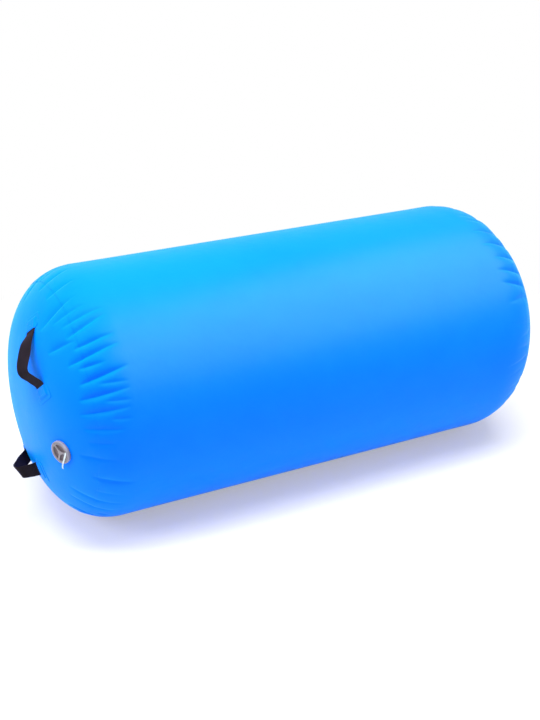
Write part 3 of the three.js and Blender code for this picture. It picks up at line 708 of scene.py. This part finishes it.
def stitch_tree():
    """Stitches along a mesh line: input Stitch, Pitch and Thread Material."""
    tree = bpy.data.node_groups.new("stitches", "GeometryNodeTree")
    interface = tree.interface
    interface.new_socket("Geometry", in_out="INPUT", socket_type="NodeSocketGeometry")
    kinds = {"Stitch": "Object", "Pitch": "Float", "Thread Material": "Material"}
    sockets = {
        key: interface.new_socket(key, in_out="INPUT", socket_type=f"NodeSocket{kind}")
        for key, kind in kinds.items()
    }
    interface.new_socket("Geometry", in_out="OUTPUT", socket_type="NodeSocketGeometry")
    new, link = tree.nodes.new, tree.links.new
    given, result = new("NodeGroupInput"), new("NodeGroupOutput")
    curve, spaced = new("GeometryNodeMeshToCurve"), new("GeometryNodeCurveToPoints")
    spaced.mode = "LENGTH"
    shape, placed = new("GeometryNodeObjectInfo"), new("GeometryNodeInstanceOnPoints")
    out_of_skin = new("GeometryNodeInputNamedAttribute")
    out_of_skin.data_type = "FLOAT_VECTOR"
    out_of_skin.inputs["Name"].default_value = "up"
    aim, tilt = new("FunctionNodeAlignRotationToVector"), new("FunctionNodeAlignRotationToVector")
    aim.axis, tilt.axis, tilt.pivot_axis = "X", "Z", "X"
    real, paint = new("GeometryNodeRealizeInstances"), new("GeometryNodeSetMaterial")
    link(given.outputs["Geometry"], curve.inputs["Mesh"])
    link(curve.outputs["Curve"], spaced.inputs["Curve"])
    link(given.outputs["Pitch"], spaced.inputs["Length"])
    link(given.outputs["Stitch"], shape.inputs["Object"])
    link(spaced.outputs["Points"], placed.inputs["Points"])
    link(shape.outputs["Geometry"], placed.inputs["Instance"])
    link(spaced.outputs["Tangent"], aim.inputs["Vector"])
    link(aim.outputs["Rotation"], tilt.inputs["Rotation"])
    link(out_of_skin.outputs["Attribute"], tilt.inputs["Vector"])
    link(tilt.outputs["Rotation"], placed.inputs["Rotation"])
    link(placed.outputs["Instances"], real.inputs["Geometry"])
    link(real.outputs["Geometry"], paint.inputs["Geometry"])
    link(given.outputs["Thread Material"], paint.inputs["Material"])
    link(paint.outputs["Geometry"], result.inputs["Geometry"])
    return tree, {key: socket.identifier for key, socket in sockets.items()}


stitch = stitch_shape()
stitching, stitch_inputs = stitch_tree()
for name, (patch, place, side) in patches.items():
    near, far, half = 0.004, 0.019, 0.0125
    corners = [(near, -half), (far, -half), (far, half), (near, half), (near, -half), (far, half)]
    xs, ys = [], []
    for (x0, y0), (x1, y1) in zip(corners, corners[1:]):
        count = max(2, int(math.hypot(x1 - x0, y1 - y0) / 0.001))
        xs += list(np.linspace(x0, x1, count))
        ys += list(np.linspace(y0, y1, count))
    xs, ys = np.array(xs), np.array(ys)
    height = 0.0011 + STRAP_THICK + 0.0002 + THREAD * 0.15
    points = place.on_skin(side * (place.span / 2 + xs), ys, height)
    above = place.on_skin(side * (place.span / 2 + xs), ys, height + 0.01)
    up = (above - points) / np.linalg.norm(above - points, axis=1)[:, None]
    mesh = bpy.data.meshes.new(f"{name}_line")
    mesh.from_pydata([tuple(p) for p in points], [(k, k + 1) for k in range(len(points) - 1)], [])
    mesh.attributes.new("up", "FLOAT_VECTOR", "POINT").data.foreach_set("vector", up.ravel())
    guide = bpy.data.objects.new(f"{name}_line", mesh)
    bpy.context.scene.collection.objects.link(guide)
    sewing = guide.modifiers.new("sewing", "NODES")
    sewing.node_group = stitching
    sewing[stitch_inputs["Stitch"]] = stitch
    sewing[stitch_inputs["Pitch"]] = STITCH_PITCH
    sewing[stitch_inputs["Thread Material"]] = thread.material
    bpy.context.view_layer.update()
    graph = bpy.context.evaluated_depsgraph_get()
    sewn = bpy.data.meshes.new_from_object(guide.evaluated_get(graph), depsgraph=graph)
    stitches = bpy.data.objects.new(f"{name}_stitches", sewn)
    bpy.context.scene.collection.objects.link(stitches)
    bpy.data.objects.remove(guide)
    sewn.polygons.foreach_set("use_smooth", [True] * len(sewn.polygons))
    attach(stitches, "inflated_body")
bpy.data.objects.remove(stitch)

# ---- Valve --------------------------------------------------------------------------------------
# A moulded grey collar clamps the skin between its flange and a nut inside. A screw-in cap with
# three ribs and finger recesses closes it, and a spring-loaded poppet holds the air behind the cap.

VALVE_X = np.cross([0, 0, 1], VALVE_AXIS)
VALVE_X /= np.linalg.norm(VALVE_X)
VALVE_Y = np.cross(VALVE_AXIS, VALVE_X)


def at_valve(points):
    points = np.asarray(points, float)
    flat = points[..., :1] * VALVE_X + points[..., 1:2] * VALVE_Y
    return VALVE_PLACE + flat + points[..., 2:] * VALVE_AXIS


def rounded(outline, radius, steps=4):
    """The outline's corners, each softened to a small radius."""
    made, count = [], len(outline)
    for k, here in enumerate(outline):
        here = np.array(here)
        back, ahead = np.array(outline[k - 1]) - here, np.array(outline[(k + 1) % count]) - here
        cut = min(radius, np.linalg.norm(back) * 0.45, np.linalg.norm(ahead) * 0.45)
        start = here + back / np.linalg.norm(back) * cut
        end = here + ahead / np.linalg.norm(ahead) * cut
        for t in np.linspace(0, 1, steps + 1):
            made.append((1 - t) ** 2 * start + 2 * t * (1 - t) * here + t * t * end)
    return made


def turned_about_valve(name, outline, segments=144):
    """A closed outline of radius and height turned about the valve's axis."""
    outline = np.array(outline)
    turn = np.arange(segments) * 2 * math.pi / segments
    r, z = outline[:, 0][:, None], outline[:, 1][:, None]
    points = np.stack(np.broadcast_arrays(r * np.cos(turn), r * np.sin(turn), z), -1)
    rows = len(outline)
    faces = grid_faces(rows, segments)
    last = (rows - 1) * segments
    nexts = [(j + 1) % segments for j in range(segments)]
    wrap = [(last + j, last + k, k, j) for j, k in enumerate(nexts)]
    uv = np.stack(np.broadcast_arrays(turn * 0.02, z), -1).reshape(-1, 2)
    return make_object(name, at_valve(points).reshape(-1, 3), [tuple(f) for f in faces] + wrap, uv)


def moulded_plastic(name, low, high, rough, painted_hollow_shade=None):
    """Satin moulded plastic with a fine spark-eroded grain and a few handling marks. Where a hollow
    shade is given, the low parts get that darker colour: painted shade in the recesses."""
    s = Shader(name)
    s.set(IOR=1.49, Specular_IOR_Level=0.45)
    place = s.object_place()
    grain, marks = s.noise(place, 1400, 2), s.noise(place, 130, 5, 0.65)
    if painted_hollow_shade:
        # Painted shade: the low parts, away from the raised ribs, hub and border, take the darker colour.
        tone = s.mixed(s.attribute("raised"), 0.8, marks)
        s.colour(s.colours(tone, (0.08, painted_hollow_shade), (0.85, low), (0.98, high)))
    else:
        s.colour(s.colours(marks, (0.3, low), (0.7, high)))
    s.roughness(s.spread(marks, rough - 0.07, rough + 0.08))
    s.relief((grain, 0.00004), (marks, 0.00006))
    return s.material


SATIN = 0.42
collar_plastic = moulded_plastic("light_grey_plastic", (0.200, 0.190, 0.225), (0.270, 0.252, 0.290), SATIN)
cap_plastic = moulded_plastic("cap_grey_plastic", (0.140, 0.120, 0.138), (0.190, 0.165, 0.185), SATIN)
# The last colour given to the ribbed cap is painted shade for the recesses between its ribs.
cap_face_plastic = moulded_plastic(
    "ribbed_cap_plastic", (0.190, 0.172, 0.200), (0.240, 0.222, 0.255), SATIN, painted_hollow_shade=(0.084, 0.062, 0.080)
)

mm = 0.001
collar = turned_about_valve(
    "valve_collar_moulding",
    rounded(
        [
            (17.0 * mm, -28 * mm), (19.0 * mm, -28 * mm), (19.0 * mm, -0.9 * mm), (26.4 * mm, -0.9 * mm),
            (27.0 * mm, 1.2 * mm), (26.7 * mm, 6.8 * mm), (23.5 * mm, 6.8 * mm), (23.4 * mm, 1.9 * mm),
            (17.0 * mm, 1.9 * mm),
            (17.0 * mm, -4.2 * mm), (11.5 * mm, -4.2 * mm), (11.5 * mm, -6.0 * mm), (17.0 * mm, -6.0 * mm),
        ],
        0.9 * mm,
    ),
)
dress([collar], collar_plastic)
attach(collar, "inflated_body")
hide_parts("valve_collar")


def make_cap():
    """The cap's face is a height over the valve: three ribs and a hub stand above the recesses."""
    edge, border, hub, rib = 23.1 * mm, 3.4 * mm, 6.0 * mm, 5.0 * mm
    top, floor = 6.8 * mm, 4.0 * mm
    rib_turns = np.radians([12, 132, 252])
    segments = 240
    turn = np.arange(segments) * 2 * math.pi / segments
    radii = [np.linspace(0.4, 4.5, 6), np.linspace(5.2, 20.6, 44), [21.2, 22.0, 22.6]]
    radii = np.concatenate(radii) * mm
    r, t = np.meshgrid(radii, turn, indexing="ij")
    across = np.minimum.reduce(
        [np.where(np.cos(t - k) > 0, np.abs(r * np.sin(t - k)), 1.0) for k in rib_turns]
    )

    def step(distance, soft=0.45 * mm):
        share = np.clip(0.5 + distance / (2 * soft), 0, 1)
        return share * share * (3 - 2 * share)

    raised = np.maximum.reduce([step(rib / 2 - across), step(hub - r), step(r - (edge - border))])
    crown = 0.35 * mm * np.clip(1 - (across / (rib / 2)) ** 2, 0, 1) * (r < edge - border)
    dish = 0.5 * mm * np.clip(1 - (r / hub) ** 2, 0, 1)
    z = floor + (top - floor) * raised + crown * raised - dish
    face = np.stack([r * np.cos(t), r * np.sin(t), z], -1)
    rings = [
        (22.9, 6.6), (23.1, 6.2), (23.1, 2.4), (22.9, 2.2), (21.3, 2.2), (21.1, 2.4), (21.1, 2.6),
        (15.2, 2.6), (15.2, -3.0), (16.4, -3.0), (16.4, -3.6), (13.0, -3.6), (13.0, 2.4), (0.5, 2.4),
    ]
    out, up = np.array(rings).T[:, :, None] * mm
    side = np.stack(np.broadcast_arrays(out * np.cos(turn), out * np.sin(turn), up), -1)
    crest, back = [[0, 0, z[0, 0]]], [[0, 0, 2.4 * mm]]
    points = np.concatenate([crest, face.reshape(-1, 3), side.reshape(-1, 3), back])
    rows = len(radii) + len(rings)
    faces = [(0, 1 + j, 1 + (j + 1) % segments) for j in range(segments)]
    faces += [tuple(f) for f in grid_faces(rows, segments, flip=True, base=1)]
    last = 1 + (rows - 1) * segments
    faces += [(len(points) - 1, last + (j + 1) % segments, last + j) for j in range(segments)]
    height = np.concatenate([[raised[0, 0]], raised.ravel(), np.ones(len(rings) * segments + 1)])
    return make_object("valve_cap_moulding", at_valve(points), faces, marks={"raised": height})


cap = make_cap()
dress([cap], cap_face_plastic)
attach(cap, "cap")
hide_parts("valve_cap")

seal_rubber = Shader("black_rubber")
seal_rubber.set(Specular_IOR_Level=0.25)
bloom = seal_rubber.noise(seal_rubber.object_place(), 240, 4)
seal_rubber.colour(seal_rubber.colours(bloom, (0.3, (0.010, 0.010, 0.011)), (0.75, (0.035, 0.035, 0.038))))
seal_rubber.roughness(seal_rubber.spread(bloom, 0.6, 0.8))
seal_rubber.relief((bloom, 0.00008))
spring_wire = Shader("spring_wire")
spring_wire.set(Metallic=1.0)
drawn = spring_wire.noise(spring_wire.object_place(), 700, 3)
spring_wire.colour(spring_wire.colours(drawn, (0.3, (0.42, 0.43, 0.45)), (0.7, (0.62, 0.63, 0.65))))
spring_wire.roughness(spring_wire.spread(drawn, 0.22, 0.4))
for node, material, slot in (
    ("valve_gasket", seal_rubber.material, "seal_rubber"),
    ("valve_cap_seal", seal_rubber.material, "seal_rubber"),
    ("valve_poppet_seal", seal_rubber.material, "seal_rubber"),
    ("valve_nut", collar_plastic, "valve_plastic"),
    ("valve_stem_guide", collar_plastic, "valve_plastic"),
    ("valve_poppet", cap_plastic, "cap_plastic"),
    ("valve_spring", spring_wire.material, "spring_steel"),
):
    dress([frame["nodes"][node]], material)

# The spring stands on the stem guide, and in the real valve it shortens as the poppet is pressed. Here it
# only gets a mesh of its own.
spring = frame["nodes"]["valve_spring"]
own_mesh(spring)

# ---- Pull strip on the cap ----------------------------------------------------------------------
# A soft, milky plastic strip moulded to the cap's edge. It lies over the rim and hangs free, and
# is pulled to ease the cap out.

STRIP_WIDTH, STRIP_THICK = 4.8 * mm, 1.0 * mm
RIM_RADIUS, RIM_TOP, STRIP_CLEARANCE = 27, 6.8, 0.9  # millimetres


def make_strip():
    """A flat strip along a smooth line. Each stop is two shares of the rim's radius, and a height."""
    stops = np.array(
        [[0.78, 0.3, 0], [0.59, -0.23, 0.6], [0.37, -0.71, 0.8], [0.18, -1.16, 0.2], [0.03, -1.52, -3]]
    )
    stops = stops * [RIM_RADIUS, RIM_RADIUS, 1] + [0, 0, RIM_TOP + STRIP_CLEARANCE]
    stops = stops * mm
    rows, cols = 90, 20
    t = np.linspace(0, 4, rows)
    line = np.stack([np.polyval(np.polyfit(range(5), stops[:, k], 4), t) for k in range(3)], -1)
    tangent = np.gradient(line, axis=0)
    tangent /= np.linalg.norm(tangent, axis=1)[:, None]
    wide = np.cross(np.array([0, 0, 1.0]), tangent)
    wide /= np.linalg.norm(wide, axis=1)[:, None]
    face = np.cross(tangent, wide)
    turn = np.arange(cols) * 2 * math.pi / cols
    flat = np.sign(np.cos(turn)) * np.abs(np.cos(turn)) ** 0.55 * STRIP_WIDTH / 2
    deep = np.sign(np.sin(turn)) * np.abs(np.sin(turn)) ** 0.8 * STRIP_THICK / 2
    taper = np.clip(np.minimum(t, 4 - t) / 0.15, 0, 1) ** 0.5
    taper = (0.25 + 0.75 * taper) * (1 - 0.12 * t / 4)
    spread = (taper[:, None] * flat)[..., None]
    points = line[:, None] + spread * wide[:, None] + deep[None, :, None] * face[:, None]
    faces = [tuple(f) for f in grid_faces(rows, cols, flip=False)]
    faces += [tuple(range(cols))[::-1], tuple(range((rows - 1) * cols, rows * cols))]
    return make_object("valve_cap_strip", at_valve(points).reshape(-1, 3), faces)


strip = make_strip()
milky = Shader("milky_soft_plastic")
milky.set(IOR=1.5, Transmission_Weight=0.35, Subsurface_Weight=0.2, Specular_IOR_Level=0.5)
cloud = milky.noise(milky.object_place(), 300, 3)
milky.colour(milky.colours(cloud, (0.3, (0.74, 0.80, 0.84)), (0.7, (0.86, 0.90, 0.92))))
milky.roughness(milky.spread(cloud, 0.25, 0.4))
milky.relief((cloud, 0.00005))
dress([strip], milky.material)
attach(strip, "cap")
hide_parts("valve_cap_strap")

# ---- Stage: floor, lights and camera ------------------------------------------------------------
# A white studio sweep under one broad overhead softbox, a weaker one at the valve end and a card
# that only gloss shows. The roll is seen from the valve end and from a little above.

scene = bpy.context.scene
scene.view_settings.view_transform = "Standard"
floor_mesh = bpy.data.meshes.new("floor")
FLOOR_RADIUS, FLOOR_SIDES = 2.3, 96
turns = [2 * math.pi * k / FLOOR_SIDES for k in range(FLOOR_SIDES)]
rim = [(FLOOR_RADIUS * math.cos(t), FLOOR_RADIUS * math.sin(t), 0) for t in turns]
floor_mesh.from_pydata(rim, [], [tuple(range(FLOOR_SIDES))])
floor = bpy.data.objects.new("floor", floor_mesh)
scene.collection.objects.link(floor)
paper = Shader("white_paper")
fibre = paper.noise(paper.object_place(), 300, 3)
paper.colour(paper.colours(fibre, (0.3, (0.89, 0.89, 0.89)), (0.7, (0.91, 0.91, 0.91))))
paper.set(Specular_IOR_Level=0.0, Roughness=1.0)
away = paper.node("ShaderNodeVectorMath", {0: paper.object_place()}, operation="LENGTH").outputs["Value"]
fade = {"Value": away, "From Min": 0.7, "From Max": 1.5, "To Min": 0.4, "To Max": 1.0}
faded = paper.node("ShaderNodeMapRange", fade)
rays = paper.node("ShaderNodeLightPath").outputs
seen = paper.math("MAXIMUM", rays["Is Camera Ray"], rays["Is Glossy Ray"])
seen = paper.math("MAXIMUM", seen, rays["Is Transmission Ray"])
glow = paper.node("ShaderNodeEmission", {"Color": (1, 1, 1, 1), "Strength": 1.0})
sweep_white = paper.node("ShaderNodeMixShader", {0: paper.math("MULTIPLY", faded.outputs["Result"], seen)})
paper.links.new(paper.base.outputs["BSDF"], sweep_white.inputs[1])
paper.links.new(glow.outputs["Emission"], sweep_white.inputs[2])
paper.links.new(sweep_white.outputs["Shader"], paper.out.inputs["Surface"])
dress([floor], paper.material)

world = bpy.data.worlds.new("studio")
scene.world = world
world.use_nodes = True
sky = world.node_tree
shown = sky.nodes["Background"]
shown.inputs["Color"].default_value = (1, 1, 1, 1)
rays, strength = sky.nodes.new("ShaderNodeLightPath").outputs, sky.nodes.new("ShaderNodeMapRange")
mirrored, shown_white = sky.nodes.new("ShaderNodeMath"), sky.nodes.new("ShaderNodeMath")
mirrored.operation = shown_white.operation = "MAXIMUM"
sky.links.new(rays["Is Glossy Ray"], mirrored.inputs[0])
sky.links.new(rays["Is Transmission Ray"], mirrored.inputs[1])
sky.links.new(rays["Is Camera Ray"], shown_white.inputs[0])
sky.links.new(mirrored.outputs["Value"], shown_white.inputs[1])
AMBIENT, WHITE = 0.48, 1.0
strength.inputs["To Min"].default_value, strength.inputs["To Max"].default_value = AMBIENT, WHITE
sky.links.new(shown_white.outputs["Value"], strength.inputs["Value"])
sky.links.new(strength.outputs["Result"], shown.inputs["Strength"])


def softbox(name, place, target, size, power, lights=True):
    """A lamp that lights the roll, or with lights=False a card that shows only in its gloss."""
    lamp = bpy.data.lights.new(name, "AREA")
    lamp.shape, lamp.size, lamp.size_y, lamp.energy = "RECTANGLE", size[0], size[1], power
    holder = bpy.data.objects.new(name, lamp)
    scene.collection.objects.link(holder)
    holder.location = place
    holder.rotation_euler = (Vector(target) - Vector(place)).to_track_quat("-Z", "Y").to_euler()
    holder.visible_camera, holder.visible_diffuse, holder.visible_glossy = False, lights, not lights


softbox("overhead", (-0.2, -0.35, 2.5), (0, 0, 0.3), (3.0, 1.4), 145)
softbox("end_fill", (-2.6, 0.3, 1.3), (-0.6, 0, 0.35), (1.2, 1.4), 28)
softbox("front_card", (0.9, -1.1, 2.0), (0.0, -0.1, 0.4), (3.2, 2.2), 360, lights=False)

centre = Vector((0, 0, AXIS_Z))
azimuth, elevation, DISTANCE = math.radians(-27.8), math.radians(23.5), 3.0
back = Vector(
    (math.sin(azimuth) * math.cos(elevation), -math.cos(azimuth) * math.cos(elevation), math.sin(elevation))
)
lens = bpy.data.cameras.new("camera")
camera = bpy.data.objects.new("camera", lens)
scene.collection.objects.link(camera)
camera.location = centre + back * DISTANCE
camera.rotation_euler = (-back).to_track_quat("-Z", "Y").to_euler()
lens.sensor_width, lens.lens = 36.0, 59.3  # millimetres
lens.shift_x, lens.shift_y = -0.0111, -0.0125
lens.clip_start, lens.clip_end = 0.05, 60
scene.camera = camera
